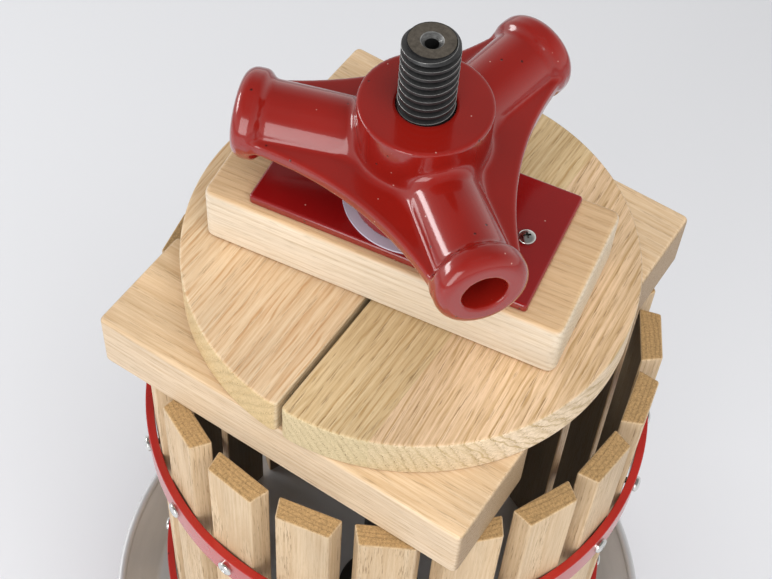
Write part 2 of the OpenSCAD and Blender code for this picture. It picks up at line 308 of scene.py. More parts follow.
def place(piece: Piece, matrix: Matrix) -> Piece:
    """Moves a piece's mesh, so that its object stays at the origin."""
    piece.data.transform(matrix)
    return piece


def turned(degrees: float) -> Matrix:
    """A turn about the spindle's axis."""
    return Matrix.Rotation(math.radians(degrees), 4, "Z")


# Node helpers

class Nodes:
    """Adds nodes to a tree and links them as it goes."""

    def __init__(self, tree: Tree) -> None:
        """Starts on an empty tree."""
        self.tree = tree
        tree.nodes.clear()

    def feed(self, node: Node, inputs: Inputs) -> Node:
        """Sets or links a node's inputs.

        Args:
            node: The node.
            inputs: Values or sockets for its inputs, by name or number.

        Returns:
            The same node.
        """
        for key, value in inputs.items():
            if isinstance(value, Socket):
                self.tree.links.new(value, node.inputs[key])
            else:
                node.inputs[key].default_value = value
        return node

    def add(self, kind: str, inputs: Optional[Inputs] = None, **settings: Value) -> Node:
        """Adds one node.

        Args:
            kind: The node's type.
            inputs: Values or sockets for its inputs, by name or number.
            settings: Values for its own settings.

        Returns:
            The new node.
        """
        node = self.tree.nodes.new(kind)
        for name, value in settings.items():
            setattr(node, name, value)
        return self.feed(node, inputs or {})

    def math(self, operation: str, a: Value, b: Value = 0.0, clamp: bool = False) -> Socket:
        """Adds a Math node and gives its result."""
        return self.add("ShaderNodeMath", {0: a, 1: b}, operation=operation, use_clamp=clamp).outputs[0]

    def vector(self, operation: str, a: Value, b: Value = (0.0, 0.0, 0.0)) -> Socket:
        """Adds a Vector Math node and gives its vector."""
        return self.add("ShaderNodeVectorMath", {0: a, 1: b}, operation=operation).outputs[0]

    def scale(self, vector: Value, factor: Value) -> Socket:
        """Scales a vector or a colour and gives the result."""
        return self.add("ShaderNodeVectorMath", {0: vector, "Scale": factor}, operation="SCALE").outputs[0]

    def axes(self, vector: Value) -> Sequence[Socket]:
        """Splits a vector into its three values."""
        return self.add("ShaderNodeSeparateXYZ", {0: vector}).outputs

    def noise(self, vector: Value, scale: Value, detail: float = 2.0, rough: float = 0.5) -> Socket:
        """Adds a Noise texture and gives its value."""
        return self.add("ShaderNodeTexNoise", {"Vector": vector, "Scale": scale, "Detail": detail,
                                               "Roughness": rough}).outputs[0]

    def streaks(self, point: Value, along: float, across: float, detail: float = 2.0,
                rough: float = 0.5) -> Socket:
        """Adds a Noise texture with its own scale along X and gives its value."""
        return self.noise(self.vector("MULTIPLY", point, (along, across, across)), 1.0, detail, rough)

    def mix(self, share: Value, a: Value, b: Value, blend: str = "MIX") -> Socket:
        """Mixes two colours and gives the result."""
        node = self.add("ShaderNodeMix", {0: share, 6: a, 7: b}, data_type="RGBA", blend_type=blend)
        return node.outputs[2]

    def spread(self, value: Value, low: float, high: float, to_low: float = 0.0,
               to_high: float = 1.0) -> Socket:
        """Maps a range of a value to another range, and clamps it there."""
        return self.add("ShaderNodeMapRange", {0: value, 1: low, 2: high, 3: to_low, 4: to_high}).outputs[0]

    def attribute(self, name: str, output: str) -> Socket:
        """Adds an Attribute node and gives one of its outputs."""
        return self.add("ShaderNodeAttribute", attribute_name=name).outputs[output]

    def bump(self, height: Value, distance: float, strength: float) -> Socket:
        """Adds a Bump node and gives its normal."""
        node = self.add("ShaderNodeBump", {"Height": height, "Distance": distance, "Strength": strength})
        return node.outputs[0]

    def steps(self, value: Value, stops: Sequence[Point2]) -> Socket:
        """Adds a grey ramp.

        Args:
            value: Where to read the ramp.
            stops: Position and grey of each stop.

        Returns:
            The ramp's value.
        """
        ramp = self.add("ShaderNodeValToRGB", {0: value})
        elements = ramp.color_ramp.elements
        elements.remove(elements[1])
        elements[0].position, grey = stops[0]
        elements[0].color = (grey, grey, grey, 1)
        for position, grey in stops[1:]:
            elements.new(position).color = (grey, grey, grey, 1)
        return ramp.outputs[0]


def rgba(colour: Point3) -> tuple[float, float, float, float]:
    """A colour with full alpha."""
    return (*colour, 1.0)


def floats(*names: str) -> dict[str, str]:
    """Plain number sockets of the given names."""
    return dict.fromkeys(names, "Float")


def new_group(name: str, kind: str, inputs: dict[str, str],
              outputs: dict[str, str]) -> tuple[Tree, Nodes, dict[str, Socket], Node]:
    """Starts a node group.

    Args:
        name: The group's name.
        kind: The tree's type.
        inputs: Kinds of socket by input name.
        outputs: Kinds of socket by output name.

    Returns:
        The tree, its builder, its input sockets by name, and its output node.
    """
    tree = bpy.data.node_groups.new(name, kind)
    for side, sockets in (("INPUT", inputs), ("OUTPUT", outputs)):
        for label, socket in sockets.items():
            tree.interface.new_socket(label, in_out=side, socket_type="NodeSocket" + socket)
    nodes = Nodes(tree)
    entry = nodes.add("NodeGroupInput")
    leave = nodes.add("NodeGroupOutput")
    return tree, nodes, {label: entry.outputs[label] for label in inputs}, leave


def wood_grain_group() -> Tree:
    """Growth rings round a pith that lies along X, with pores, fibres and short dark dashes.

    Returns:
        The group, whose Vector is in metres and whose pith, ring and warp are in millimetres.
    """
    tree, n, given, leave = new_group("wood grain", "ShaderNodeTree",
                                      {"Vector": "Vector", **floats("Pith Y", "Pith Z", "Ring", "Warp")},
                                      floats("Line", "Pore", "Fibre", "Tone", "Dash"))
    lane_mm = 3.4
    point = n.scale(given["Vector"], 1 / MM)
    along, across, up = n.axes(point)
    slow = n.streaks(point, 0.005, 0.014, 2.0, 0.45).node.outputs[1]
    sway = n.axes(n.vector("SUBTRACT", slow, (0.5, 0.5, 0.5)))

    def off_pith(value: Socket, pith: str, drift: Socket) -> Socket:
        """The squared distance from the pith on one axis."""
        off = n.math("ADD", n.math("SUBTRACT", value, given[pith]), n.math("MULTIPLY", drift, given["Warp"]))
        return n.math("MULTIPLY", off, off)

    squares = n.math("ADD", off_pith(across, "Pith Y", sway[1]), off_pith(up, "Pith Z", sway[2]))
    distance = n.math("SQRT", squares)
    jitter = n.math("MULTIPLY", n.streaks(point, 0.02, 0.35), 0.45)
    phase = n.math("ADD", n.math("DIVIDE", distance, given["Ring"]), jitter)
    share = n.math("FRACT", phase)
    line = n.steps(share, [(0.0, 1.0), (0.05, 0.45), (0.2, 0.06), (0.6, 0.0), (0.84, 0.28), (0.97, 1.0)])
    each = n.add("ShaderNodeTexWhiteNoise", {"W": n.math("FLOOR", phase)}, noise_dimensions="1D").outputs[0]
    specks = n.spread(n.streaks(point, 0.09, 1.7, 2.0, 0.6), 0.54, 0.66)
    level = n.math("ADD", across, n.math("MULTIPLY", up, 0.6))
    wobble = n.math("MULTIPLY", n.streaks(point, 0.03, 0.16), 5.0)
    lane = n.math("DIVIDE", n.math("ADD", level, wobble), lane_mm)
    own = n.add("ShaderNodeCombineXYZ", {0: n.math("MULTIPLY", along, 0.035),
                                         1: n.math("MULTIPLY", n.math("FLOOR", lane), 3.7)}).outputs[0]
    broken = n.spread(n.noise(own, 1.0), 0.4, 0.62)
    off = n.math("ABSOLUTE", n.math("SUBTRACT", n.math("FRACT", lane), 0.5))
    n.feed(leave, {"Line": n.math("MULTIPLY", line, n.spread(each, 0.0, 1.0, 0.35, 1.0)),
                   "Pore": n.math("MULTIPLY", specks, n.spread(share, 0.12, 0.5, 1.0, 0.25)),
                   "Fibre": n.streaks(point, 0.022, 0.75, 4.0, 0.68),
                   "Tone": n.streaks(point, 0.006, 0.03, 3.0, 0.55),
                   "Dash": n.math("MULTIPLY", n.spread(off, 0.05, 0.2, 1.0, 0.0), broken)})
    return tree


def paint_film_group() -> Tree:
    """A sprayed coat of paint: a slight orange peel, a few pinholes and specks of dust.

    Returns:
        The group, whose Vector is in metres.
    """
    tree, n, given, leave = new_group("paint film", "ShaderNodeTree", {"Vector": "Vector", **floats("Pits")},
                                      floats("Height", "Pinhole", "Speck", "Tone"))
    where = given["Vector"]

    def dots(scale: float, inner: float, outer: float, channel: int, limit: Socket) -> Socket:
        """Round dots in a share of the cells.

        Args:
            scale: The cells' scale.
            inner: Radius of a dot's full middle, in cells.
            outer: Radius of its soft edge.
            channel: The channel of the cell's colour that decides.
            limit: Share of the cells that have a dot.

        Returns:
            The dots' mask.
        """
        cells = n.add("ShaderNodeTexVoronoi", {"Vector": where, "Scale": scale}).outputs
        chance = n.add("ShaderNodeSeparateColor", {0: cells["Color"]}).outputs[channel]
        dot = n.spread(cells["Distance"], inner, outer, 1.0, 0.0)
        return n.math("MULTIPLY", dot, n.math("LESS_THAN", chance, limit))

    pinhole = dots(130.0, 0.05, 0.12, 0, given["Pits"])
    speck = dots(210.0, 0.04, 0.1, 1, n.math("MULTIPLY", given["Pits"], 0.6))
    peel = n.math("MULTIPLY", n.noise(where, 260.0), 0.12)
    height = n.math("ADD", peel, n.math("MULTIPLY", n.noise(where, 45.0), 0.35))
    height = n.math("ADD", height, n.math("MULTIPLY", speck, 0.25))
    n.feed(leave, {"Height": n.math("SUBTRACT", height, n.math("MULTIPLY", pinhole, 0.8)), "Pinhole": pinhole,
                   "Speck": speck, "Tone": n.noise(where, 16.0, 3.0, 0.55)})
    return tree


def worked_steel_group() -> Tree:
    """Fine scratches and smudges of worked steel.

    Returns:
        The group, whose Vector is in metres and is stretched by the caller.
    """
    tree, n, given, leave = new_group("worked steel", "ShaderNodeTree",
                                      {"Vector": "Vector", **floats("Scale")}, floats("Scratch", "Smudge"))
    coarse = n.math("MULTIPLY", given["Scale"], 0.07)
    n.feed(leave, {"Scratch": n.noise(given["Vector"], given["Scale"], 4.0, 0.65),
                   "Smudge": n.noise(given["Vector"], coarse, 3.0)})
    return tree


WOOD_GRAIN = wood_grain_group()
PAINT_FILM = paint_film_group()
WORKED_STEEL = worked_steel_group()


# Finishes

class Grain(Enum):
    """The axis that a piece's grain runs along, as the turn that lays it on X."""

    LENGTHWAYS = (0.0, 0.0, 0.0)
    CROSSWAYS = (0.0, 0.0, -math.pi / 2)
    UPRIGHT = (0.0, math.pi / 2, 0.0)


def start_material(name: str) -> tuple[Material, Nodes, Node, Node]:
    """Starts a material.

    Args:
        name: The material's name.

    Returns:
        The material, its builder, its Principled BSDF, joined to the output, and its Texture Coordinate node.
    """
    material = bpy.data.materials.new(name)
    material.use_nodes = True
    n = Nodes(material.node_tree)
    shader = n.add("ShaderNodeBsdfPrincipled")
    n.add("ShaderNodeOutputMaterial", {"Surface": shader.outputs[0]})
    return material, n, shader, n.add("ShaderNodeTexCoord")


@dataclass(frozen=True)
class Wood:
    """Planed and oiled wood, cut from a log whose pith lies near the piece."""

    name: str
    pale: Point3
    line: Point3
    pore: Point3
    end: Point3
    grain: Grain
    pith_mm: Point2
    ring_mm: float
    warp_mm: float
    turn_deg: float = 0.0
    shift_m: Point3 = (0.0, 0.0, 0.0)
    lines: float = 0.6
    pores: float = 0.5
    fibres: float = 0.55
    ends: float = 1.0
    end_depth: float = 0.7
    dashes: float = 0.0
    # Painted light: a tint that lightens upright faces, standing in for the light that falls on them.
    upright_painted_light: Point3 = (1.0, 1.0, 1.0)
    # Painted shade: the factor that darkens faces looking towards the spindle, inside the basket.
    inner: float = 1.0
    own_log: bool = False
    strip: Optional[Point3] = None
    strip_pale: Point3 = (0.0, 0.0, 0.0)
    strip_lift: float = 0.4
    gloss: float = 0.32
    relief: float = 0.18 * MM

    def material(self) -> Material:
        """Builds the wood's material, with end grain where a face cuts across the fibres.

        Returns:
            The material.
        """
        material, n, shader, spot = start_material(self.name)
        where = spot.outputs["Object"]
        if self.own_log:
            where = n.vector("ADD", n.attribute("slat_place", "Vector"), n.attribute("slat_log", "Vector"))
        turn = list(self.grain.value)
        turn[2] -= math.radians(self.turn_deg)
        mapping = n.add("ShaderNodeMapping", {"Vector": where, "Rotation": turn, "Location": self.shift_m})
        laid, pale = self.glued(n, mapping.outputs[0])
        pith_y, pith_z = self.pith_mm
        log = {"Vector": laid, "Pith Y": pith_y, "Pith Z": pith_z, "Ring": self.ring_mm, "Warp": self.warp_mm}
        grain = n.add("ShaderNodeGroup", log, node_tree=WOOD_GRAIN).outputs
        facing = n.add("ShaderNodeVectorRotate", {"Vector": spot.outputs["Normal"], "Rotation": turn},
                       rotation_type="EULER_XYZ").outputs[0]
        end = n.spread(n.math("ABSOLUTE", n.axes(facing)[0]), 0.55, 0.95, 0.0, self.ends)
        colour = n.mix(end, self.long_grain(n, spot, grain, pale), self.end_grain(n, grain))
        fibre, pore = grain["Fibre"], grain["Pore"]
        open_pores = n.math("MULTIPLY", pore, n.spread(end, 0.0, 1.0, self.pores, min(1.0, self.pores * 2.0)))
        height = n.math("SUBTRACT", n.math("MULTIPLY", fibre, 0.5), pore)
        n.feed(shader, {"Base Color": n.mix(open_pores, colour, rgba(self.pore)),
                        "Roughness": n.spread(n.math("ADD", fibre, pore), 0.3, 1.4, 0.46, 0.66),
                        "Specular IOR Level": self.gloss, "Normal": n.bump(height, self.relief, 0.7)})
        return material

    def long_grain(self, n: Nodes, spot: Node, grain: Sequence[Socket], pale: Value) -> Socket:
        """The colour of a face that lies along the fibres.

        Args:
            n: The material's builder.
            spot: Its Texture Coordinate node.
            grain: The wood grain's outputs.
            pale: The early wood's colour.

        Returns:
            The colour, with painted light tinting upright faces paler and painted shade darkening those that
            face the spindle.
        """
        late = rgba(self.line)
        colour = n.mix(n.math("MULTIPLY", grain["Line"], self.lines), pale, late)
        colour = n.mix(n.spread(grain["Fibre"], 0.38, 0.68, 0.0, self.fibres), colour, late)
        colour = n.mix(n.math("MULTIPLY", grain["Dash"], self.dashes), colour, late)
        colour = n.scale(colour, n.spread(grain["Tone"], 0.3, 0.7, 0.84, 1.1))
        normal = spot.outputs["Normal"]
        # Painted light: upright faces are multiplied by the side tint, which stands in for the light on them.
        level = n.spread(n.math("ABSOLUTE", n.axes(normal)[2]), 0.35, 0.85)
        colour = n.mix(1.0, colour, n.mix(level, rgba(self.upright_painted_light), WHITE), "MULTIPLY")
        # Painted shade: faces that look towards the spindle, inside the basket, are darkened by the inner
        # factor.
        if self.inner == 1.0:
            return colour
        inward = n.vector("NORMALIZE", n.vector("MULTIPLY", spot.outputs["Object"], (-1.0, -1.0, 0.0)))
        facing = n.vector("DOT_PRODUCT", inward, normal).node.outputs["Value"]
        return n.scale(colour, n.spread(facing, 0.7, 0.9, 1.0, self.inner))

    def end_grain(self, n: Nodes, grain: Sequence[Socket]) -> Socket:
        """The colour of a face that cuts the fibres.

        Args:
            n: The material's builder.
            grain: The wood grain's outputs.

        Returns:
            The colour.
        """
        deep = rgba(tuple(c * self.end_depth for c in self.end))
        colour = n.mix(n.math("MULTIPLY", grain["Line"], 0.85), rgba(self.end), deep)
        return n.mix(n.spread(grain["Fibre"], 0.38, 0.66, 0.0, 0.7), colour, deep)

    def glued(self, n: Nodes, laid: Socket) -> tuple[Socket, Value]:
        """Shifts, tilts and tints the grain past the glue line of a board made of two strips.

        Args:
            n: The material's builder.
            laid: The place along and across the grain.

        Returns:
            The place in each strip's own log, and the strip's pale colour.
        """
        pale = rgba(self.pale)
        if self.strip is None:
            return laid, pale
        edge, slope, jump = self.strip
        along, across, up = n.axes(laid)
        second = n.math("GREATER_THAN", across, edge)
        drift = n.math("MULTIPLY", second, n.math("ADD", n.math("MULTIPLY", along, slope), jump))
        lift = n.math("MULTIPLY", second, jump * self.strip_lift)
        aside = n.math("ADD", across, drift)
        own = n.add("ShaderNodeCombineXYZ", {0: along, 1: aside, 2: n.math("ADD", up, lift)})
        return own.outputs[0], n.mix(second, pale, rgba(self.strip_pale))


@dataclass(frozen=True)
class Paint:
    """Glossy sprayed paint on metal."""

    name: str
    colour: Point3
    deep: Point3
    rough: float
    coat: float
    pits: float
    peel: float = 0.35 * MM
    dust: Point3 = (0.75, 0.5, 0.42)
    gloss: float = 0.36
    coat_rough: float = 0.07

    def material(self) -> Material:
        """Builds the paint's material.

        Returns:
            The material.
        """
        material, n, shader, spot = start_material(self.name)
        film = n.add("ShaderNodeGroup", {"Vector": spot.outputs["Object"], "Pits": self.pits},
                     node_tree=PAINT_FILM).outputs
        colour = n.mix(n.spread(film["Tone"], 0.3, 0.7), rgba(self.colour), rgba(self.deep))
        colour = n.mix(film["Pinhole"], colour, rgba(tuple(c * 0.25 for c in self.deep)))
        colour = n.mix(n.math("MULTIPLY", film["Speck"], 0.6), colour, rgba(self.dust))
        n.feed(shader, {"Base Color": colour,
                        "Roughness": n.spread(film["Tone"], 0.3, 0.75, self.rough, self.rough + 0.1),
                        "Specular IOR Level": self.gloss, "Coat Weight": self.coat,
                        "Coat Roughness": self.coat_rough, "Normal": n.bump(film["Height"], self.peel, 0.6)})
        return material


@dataclass(frozen=True)
class Steel:
    """Bare, plated or blackened steel."""

    name: str
    colour: Point3
    worn: Point3
    rough: float
    scale: float = 220.0
    stretch: Point3 = (1.0, 1.0, 1.0)
    metallic: float = 1.0
    relief: float = 0.08 * MM

    def material(self) -> Material:
        """Builds the steel's material.

        Returns:
            The material.
        """
        material, n, shader, spot = start_material(self.name)
        drawn = n.vector("MULTIPLY", spot.outputs["Object"], self.stretch)
        steel = n.add("ShaderNodeGroup", {"Vector": drawn, "Scale": self.scale},
                      node_tree=WORKED_STEEL).outputs
        scratch = steel["Scratch"]
        blotch = n.spread(steel["Smudge"], 0.35, 0.7)
        n.feed(shader, {"Base Color": n.mix(blotch, rgba(self.colour), rgba(self.worn)),
                        "Metallic": self.metallic,
                        "Roughness": n.spread(scratch, 0.3, 0.7, self.rough - 0.06, self.rough + 0.1),
                        "Normal": n.bump(scratch, self.relief, 0.6)})
        return material


@dataclass(frozen=True)
class Moulded:
    """Moulded plastic or rubber."""

    name: str
    colour: Point3
    rough: float
    cloud: float = 35.0
    grain: float = 900.0
    relief: float = 0.06 * MM

    def material(self) -> Material:
        """Builds the moulding's material.

        Returns:
            The material.
        """
        material, n, shader, spot = start_material(self.name)
        where = spot.outputs["Object"]
        lighter = tuple(min(1.0, c * 1.12 + 0.005) for c in self.colour)
        cloud = n.spread(n.noise(where, self.cloud, 3.0), 0.3, 0.7)
        tooth = n.noise(where, self.grain)
        n.feed(shader, {"Base Color": n.mix(cloud, rgba(self.colour), rgba(lighter)),
                        "Roughness": n.spread(tooth, 0.3, 0.7, self.rough - 0.06, self.rough + 0.06),
                        "Normal": n.bump(tooth, self.relief, 0.5)})
        return material


@dataclass(frozen=True)
class Threaded:
    """Blackened steel whose thread crests are worn bright in patches, with a painted highlight along each
    crest's upper edge, and a turned end.
    """

    name: str = "blackened thread"
    black: Point3 = (0.03, 0.03, 0.032)
    # Colour of worn bright steel; along the crests' upper edges it is also a painted highlight.
    bright: Point3 = (0.4, 0.4, 0.39)
    turned: Point3 = (0.19, 0.165, 0.135)
    scale: float = 520.0
    stretch: Point3 = (1.0, 1.0, 3.0)
    metallic: float = 0.8
    relief: float = 0.1 * MM

    def material(self) -> Material:
        """Builds the spindle's material.

        Returns:
            The material.
        """
        material, n, shader, spot = start_material(self.name)
        drawn = n.vector("MULTIPLY", spot.outputs["Object"], self.stretch)
        scratch = n.add("ShaderNodeGroup", {"Vector": drawn, "Scale": self.scale},
                        node_tree=WORKED_STEEL).outputs["Scratch"]
        end = n.attribute("turned", "Fac")
        patches = n.spread(scratch, 0.3, 0.68, 0.45, 1.15)
        # Per-face share of worn bright steel, which along the crests' upper edges is a painted highlight.
        patchy = n.math("MULTIPLY", n.attribute("worn_and_highlit", "Fac"), patches, clamp=True)
        thread = n.mix(patchy, rgba(self.black), rgba(self.bright))
        face = n.scale(self.turned, n.spread(scratch, 0.3, 0.7, 0.7, 1.25))
        n.feed(shader, {"Base Color": n.mix(end, thread, face), "Metallic": self.metallic,
                        "Roughness": n.spread(n.math("ADD", patchy, end), 0.0, 1.0, 0.46, 0.3),
                        "Normal": n.bump(scratch, self.relief, 0.7)})
        return material


class Looks:
    """Every finish of the press, built once."""

    def __init__(self) -> None:
        """Builds the materials."""
        pore = (0.2, 0.115, 0.045)
        plank_end = (0.42, 0.295, 0.178)
        # Painted light on the planks' upright faces.
        plank_upright_painted_light = (0.97, 1.03, 1.14)
        self.nut = Paint("glossy red casting", (0.252, 0.0092, 0.0054), (0.198, 0.007, 0.004),
                         0.14, 0.6, 0.35).material()
        self.plate = Paint("deep red plate", (0.235, 0.006, 0.006), (0.187, 0.0045, 0.0045),
                           0.15, 0.7, 0.25, 0.2 * MM).material()
        self.hoop = Paint("red hoop", (0.42, 0.018, 0.0125), (0.345, 0.0135, 0.01),
                          0.24, 0.5, 0.1, 0.15 * MM).material()
        self.stand = Paint("red stand", (0.38, 0.015, 0.013), (0.3, 0.01, 0.009),
                           0.26, 0.4, 0.02, 0.3 * MM).material()
        self.spindle = Threaded().material()
        self.collar = Steel("blackened collar", (0.05, 0.05, 0.05), (0.12, 0.115, 0.11), 0.4).material()
        self.pan = Steel("brushed pan", (0.6, 0.6, 0.61), (0.68, 0.68, 0.69), 0.48, 160.0, (1.0, 1.0, 8.0),
                         0.55).material()
        self.zinc = Steel("zinc plating", (0.6, 0.6, 0.57), (0.5, 0.5, 0.5), 0.34, 300.0).material()
        self.chrome = Steel("bright screw", (0.72, 0.72, 0.7), (0.62, 0.62, 0.6), 0.16, 500.0).material()
        self.washer = Moulded("pale washer", (0.5, 0.48, 0.58), 0.42).material()
        self.rubber = Moulded("black rubber", (0.02, 0.02, 0.021), 0.7).material()
        # Each wood's side tint is painted light on its upright faces; the slats' inner factor is painted
        # shade.
        self.left_board = Wood("left board", (0.71, 0.54, 0.35), (0.47, 0.25, 0.1), pore,
                               (0.645, 0.46, 0.217), Grain.CROSSWAYS, (-40.0, 505.0), 6.2, 9.0, 1.5,
                               lines=0.5, pores=0.4, fibres=0.45, ends=0.8, end_depth=0.76, dashes=0.75,
                               upright_painted_light=(1.03, 1.14, 1.2)).material()
        self.right_board = Wood("right board", (0.63, 0.48, 0.28), (0.4, 0.25, 0.1), pore,
                                (0.62, 0.496, 0.287), Grain.CROSSWAYS, (-70.0, 520.0), 4.6, 9.0, 180.0,
                                lines=0.7, pores=0.7, ends=0.8, end_depth=0.76, dashes=0.8,
                                upright_painted_light=(1.1, 1.24, 1.42), strip=(0.0475, -0.0875, 0.035),
                                strip_pale=(0.73, 0.525, 0.34)).material()
        self.front_plank = Wood("front plank", (0.76, 0.57, 0.37), (0.54, 0.34, 0.17), pore, plank_end,
                                Grain.LENGTHWAYS, (-60.0, 640.0), 3.4, 7.0, 1.0, pores=0.35, dashes=0.35,
                                upright_painted_light=plank_upright_painted_light).material()
        self.back_plank = Wood("back plank", (0.74, 0.56, 0.37), (0.53, 0.34, 0.17), pore, plank_end,
                               Grain.LENGTHWAYS, (150.0, 470.0), 3.6, 7.0, -1.0, (0.3, 0.0, 0.0), pores=0.35,
                               dashes=0.35, upright_painted_light=plank_upright_painted_light).material()
        self.block = Wood("press block", (0.66, 0.46, 0.27), (0.45, 0.27, 0.12), pore, (0.72, 0.61, 0.45),
                          Grain.LENGTHWAYS, (75.0, 700.0), 3.0, 4.0, 8.5, lines=0.62, pores=0.25, fibres=0.4,
                          ends=0.5, dashes=0.3, upright_painted_light=(1.14, 1.42, 1.95)).material()
        # The slats' inner=0.3 paints shade on their faces inside the basket.
        self.slat = Wood("slat", (0.65, 0.495, 0.32), (0.45, 0.29, 0.145), (0.18, 0.1, 0.038),
                         (0.5, 0.315, 0.14), Grain.UPRIGHT, (0.0, 20.0), 2.6, 5.0, pores=0.6,
                         end_depth=0.42, inner=0.3, own_log=True).material()


def dress(piece: Piece, body: str, nodes: Sequence[str], material: Optional[Material] = None) -> None:
    """Gives a piece its finish, its body and the nodes that it stands for.

    Args:
        piece: The finished piece.
        body: The body that it rides on.
        nodes: The nodes that it replaces.
        material: Its finish, or None where the mesh has it already.
    """
    if material is not None:
        piece.data.materials.clear()
        piece.data.materials.append(material)
    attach(piece, body)
    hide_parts(*nodes)
    LOG.info("%s: %d faces on %s", piece.name, len(piece.data.polygons), body)


# Repeated pieces

def around_spindle_tree() -> Tree:
    """A tree that repeats its geometry round the spindle and gives each copy a log of its own.

    Returns:
        The tree.
    """
    tree, n, given, leave = new_group("around the spindle", "GeometryNodeTree",
                                      {"Geometry": "Geometry", "Count": "Int", "First Angle": "Float",
                                       "Seed": "Int", "Material": "Material"}, {"Geometry": "Geometry"})

    def store(geometry: Socket, name: str, value: Socket, domain: str) -> Socket:
        """Stores a vector on the geometry."""
        return n.add("GeometryNodeStoreNamedAttribute", {"Geometry": geometry, "Name": name, "Value": value},
                     data_type="FLOAT_VECTOR", domain=domain).outputs[0]

    marked = store(given["Geometry"], "slat_place", n.add("GeometryNodeInputPosition").outputs[0], "POINT")
    points = n.add("GeometryNodePoints", {"Count": given["Count"]}).outputs[0]
    step = n.math("DIVIDE", 2 * math.pi, given["Count"])
    past = n.math("MULTIPLY", n.add("GeometryNodeInputIndex").outputs[0], step)
    euler = n.add("ShaderNodeCombineXYZ", {2: n.math("ADD", given["First Angle"], past)}).outputs[0]
    turn = n.add("FunctionNodeEulerToRotation", {0: euler}).outputs[0]
    copies = n.add("GeometryNodeInstanceOnPoints", {"Points": points, "Instance": marked, "Rotation": turn})
    least, most = (-0.012, -0.016, 0.0), (0.02, 0.016, 4.0)
    log = n.add("FunctionNodeRandomValue", {0: least, 1: most, "Seed": given["Seed"]},
                data_type="FLOAT_VECTOR").outputs[0]
    logged = store(copies.outputs[0], "slat_log", log, "INSTANCE")
    real = n.add("GeometryNodeRealizeInstances", {"Geometry": logged}).outputs[0]
    done = n.add("GeometryNodeSetMaterial", {"Geometry": real, "Material": given["Material"]}).outputs[0]
    n.feed(leave, {"Geometry": done})
    return tree


AROUND_SPINDLE = around_spindle_tree()


def repeat(piece: Piece, count: int, first_deg: float, material: Material, seed: int = 1) -> None:
    """Repeats a piece round the spindle and makes a plain mesh of the result.

    Args:
        piece: The piece, in place at angle zero, which gets all the copies.
        count: Number of copies.
        first_deg: Angle of the first copy.
        material: The copies' finish.
        seed: Seed of each copy's own log.
    """
    modifier = piece.modifiers.new("around the spindle", "NODES")
    modifier.node_group = AROUND_SPINDLE
    values = {"Count": count, "First Angle": math.radians(first_deg), "Seed": seed, "Material": material}
    for item in AROUND_SPINDLE.interface.items_tree:
        if item.in_out == "INPUT" and item.name in values:
            modifier[item.identifier] = values[item.name]
    apply_modifiers(piece)


@dataclass
class PanScrew:
    """A pan-head screw with a cross recess, whose head stands on z = 0."""

    length: float
    head_r: float = 4.7 * MM
    head_h: float = 3.0 * MM
    rim_share: float = 0.42
    seat_share: float = 0.97
    shank_r: float = 1.9 * MM
    straight_share: float = 0.85
    tip_share: float = 0.6
    slot_w: float = 1.6 * MM
    slot_len: float = 5.8 * MM
    slot_depth: float = 2.3 * MM
    slot_taper: float = 0.45
    dome_steps: int = 7
    steps: int = 28

    def build(self, name: str) -> Piece:
        """Builds the screw along the axis of Z.

        Args:
            name: The object's name.

        Returns:
            The screw.
        """
        angles = [math.radians(90 * k / self.dome_steps) for k in range(self.dome_steps)]
        rise = 1 - self.rim_share
        dome = [(self.head_r * math.cos(t), self.head_h * (self.rim_share + rise * math.sin(t)))
                for t in angles]
        profile = [(0.0, -self.length), (self.shank_r * self.tip_share, -self.length),
                   (self.shank_r, -self.length * self.straight_share), (self.shank_r, 0.0),
                   (self.head_r * self.seat_share, 0.0), *dome, (0.0, self.head_h)]
        screw = lathe(profile, name, self.steps, ring=False)
        for turn_deg in (0.0, 90.0):
            bm = bmesh.new()
            box = turned(turn_deg) @ Matrix.Translation((0, 0, self.head_h))
            box = box @ Matrix.Diagonal((self.slot_len, self.slot_w, 2 * self.slot_depth, 1))
            for vert in bmesh.ops.create_cube(bm, size=1.0, matrix=box)["verts"]:
                if vert.co.z < self.head_h:
                    vert.co.x *= self.slot_taper
                    vert.co.y *= self.slot_taper
            cut(screw, from_bmesh(bm, name + "_recess"))
        return screw


# Sub-assemblies

